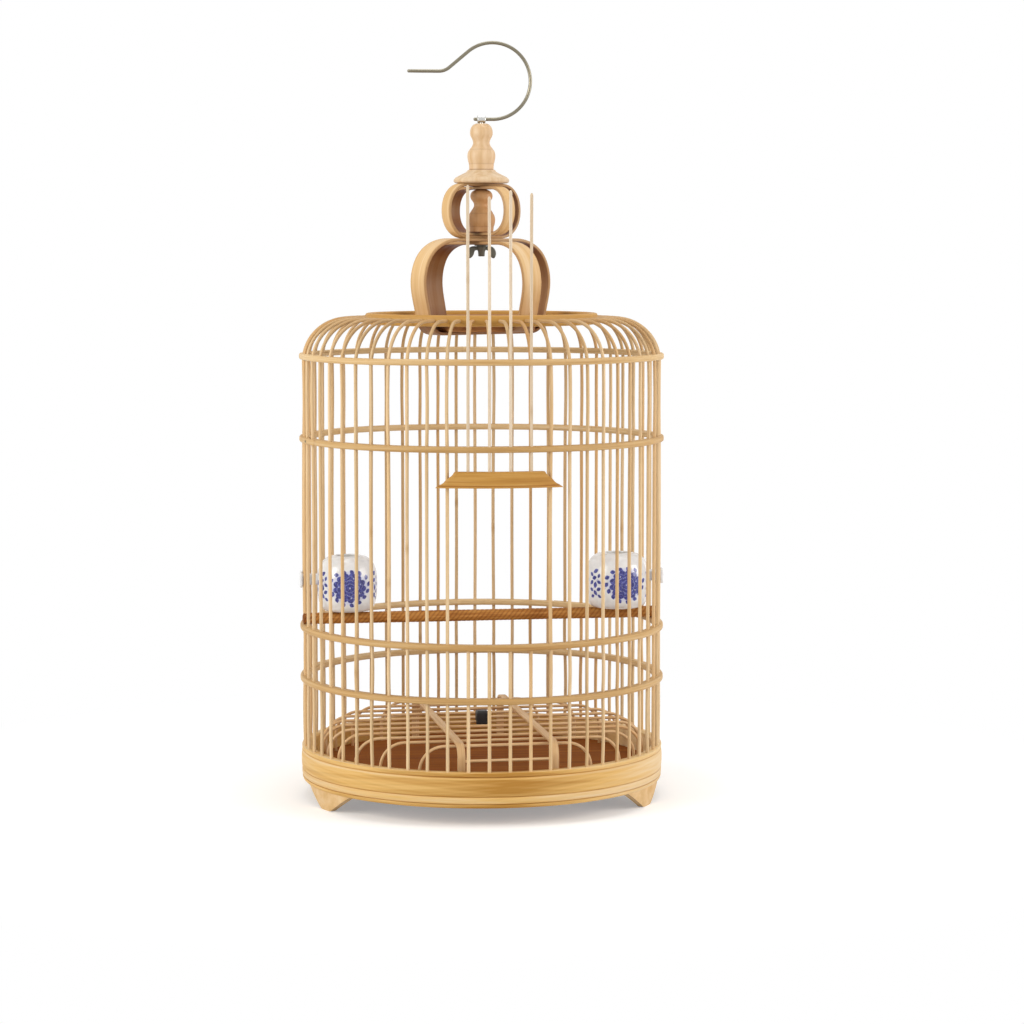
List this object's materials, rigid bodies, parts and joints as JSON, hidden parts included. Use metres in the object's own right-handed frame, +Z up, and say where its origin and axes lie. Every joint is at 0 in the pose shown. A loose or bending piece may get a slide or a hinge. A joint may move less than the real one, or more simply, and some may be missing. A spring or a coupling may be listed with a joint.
{
  "type": "bird cage",
  "caption": "Round hanging bamboo bird cage with a domed shoulder, sliding rod door, floor grille over a tray, perch, two porcelain cups and a swivelling wire hook.",
  "frame": {"origin": "centre of the plane under the three feet", "axes": "+Z up along the cage's axis, -Y out through the door, +X to the right of someone who faces the door"},
  "size_m": [0.2658, 0.265, 0.5465],
  "materials": {
    "base_bamboo": "clear varnished bamboo",
    "rib_bamboo": "scraped and varnished bamboo",
    "hoop_bamboo": "varnished bamboo strip",
    "rail_bamboo": "golden varnished bamboo",
    "pale_bamboo": "bare pale bamboo",
    "loop_bamboo": "bent varnished bamboo band",
    "turned_wood": "satin turned wood",
    "stained_board": "red-brown stained board",
    "perch_wood": "brown grooved stick",
    "porcelain": "white glaze with a blue painted band",
    "steel_wire": "drawn wire",
    "bright_steel": "plated steel",
    "dark_steel": "blackened steel",
    "black_plastic": "matte"
  },
  "bodies": {
    "root": {"base_ring": "base_bamboo", "front_left_foot": "base_bamboo", "front_right_foot": "base_bamboo", "back_foot": "base_bamboo", "tray_ledge": "base_bamboo", "wall_ribs": "rib_bamboo", "sill_ribs": "rib_bamboo", "head_ribs": "rib_bamboo", "lower_hoop": "hoop_bamboo", "perch_hoop": "hoop_bamboo", "upper_hoop": "hoop_bamboo", "shoulder_hoop": "hoop_bamboo", "hoop_nails": "dark_steel", "perch": "perch_wood", "crown_hoop": "hoop_bamboo", "crown_board": "hoop_bamboo", "crown_boss": "rail_bamboo", "large_loop_outer": "loop_bamboo", "large_loop_inner": "loop_bamboo", "small_loop_outer": "loop_bamboo", "small_loop_inner": "loop_bamboo", "inner_post": "turned_wood", "cap": "turned_wood", "finial": "turned_wood"},
    "door": {"door_rail": "rail_bamboo", "door_rods": "pale_bamboo"},
    "tray": {"tray": "stained_board"},
    "grille": {"grille_slat_1": "pale_bamboo", "grille_slat_2": "pale_bamboo", "grille_slat_3": "pale_bamboo", "grille_slat_4": "pale_bamboo", "grille_slat_5": "pale_bamboo", "grille_slat_6": "pale_bamboo", "grille_slat_7": "pale_bamboo", "grille_slat_8": "pale_bamboo", "grille_slat_9": "pale_bamboo", "grille_slat_10": "pale_bamboo", "grille_slat_11": "pale_bamboo", "left_crossbar": "pale_bamboo", "right_crossbar": "pale_bamboo", "grille_ties": "pale_bamboo", "grille_knob": "black_plastic"},
    "swivel": {"eye_bolt": "bright_steel", "washer": "bright_steel", "wing_nut": "dark_steel"},
    "hook": {"hook": "steel_wire"},
    "left_cup": {"left_cup": "porcelain"},
    "right_cup": {"right_cup": "porcelain"}
  },
  "joints": [
    {"name": "door_slide", "type": "slide", "parent": "root", "child": "door", "axis": [0, 0, 1], "range_m": [-0.1075, 0.0126]},
    {"name": "tray_lift", "type": "slide", "parent": "root", "child": "tray", "axis": [0, 0, 1], "range_m": [0, 0.02]},
    {"name": "grille_lift", "type": "slide", "parent": "tray", "child": "grille", "axis": [0, 0, 1], "range_m": [0, 0.04]},
    {"name": "hook_swivel", "type": "hinge", "parent": "root", "child": "swivel", "pos_m": [0, 0, 0.4905], "axis": [0, 0, 1], "continuous": true},
    {"name": "hook_tilt", "type": "hinge", "parent": "swivel", "child": "hook", "pos_m": [0, 0, 0.4905], "axis": [1, 0, 0], "range_deg": [-135, 135]},
    {"name": "left_cup_lift", "type": "slide", "parent": "root", "child": "left_cup", "axis": [0, 0, 1], "range_m": [0, 0.08]},
    {"name": "right_cup_lift", "type": "slide", "parent": "root", "child": "right_cup", "axis": [0, 0, 1], "range_m": [0, 0.08]}
  ]
}
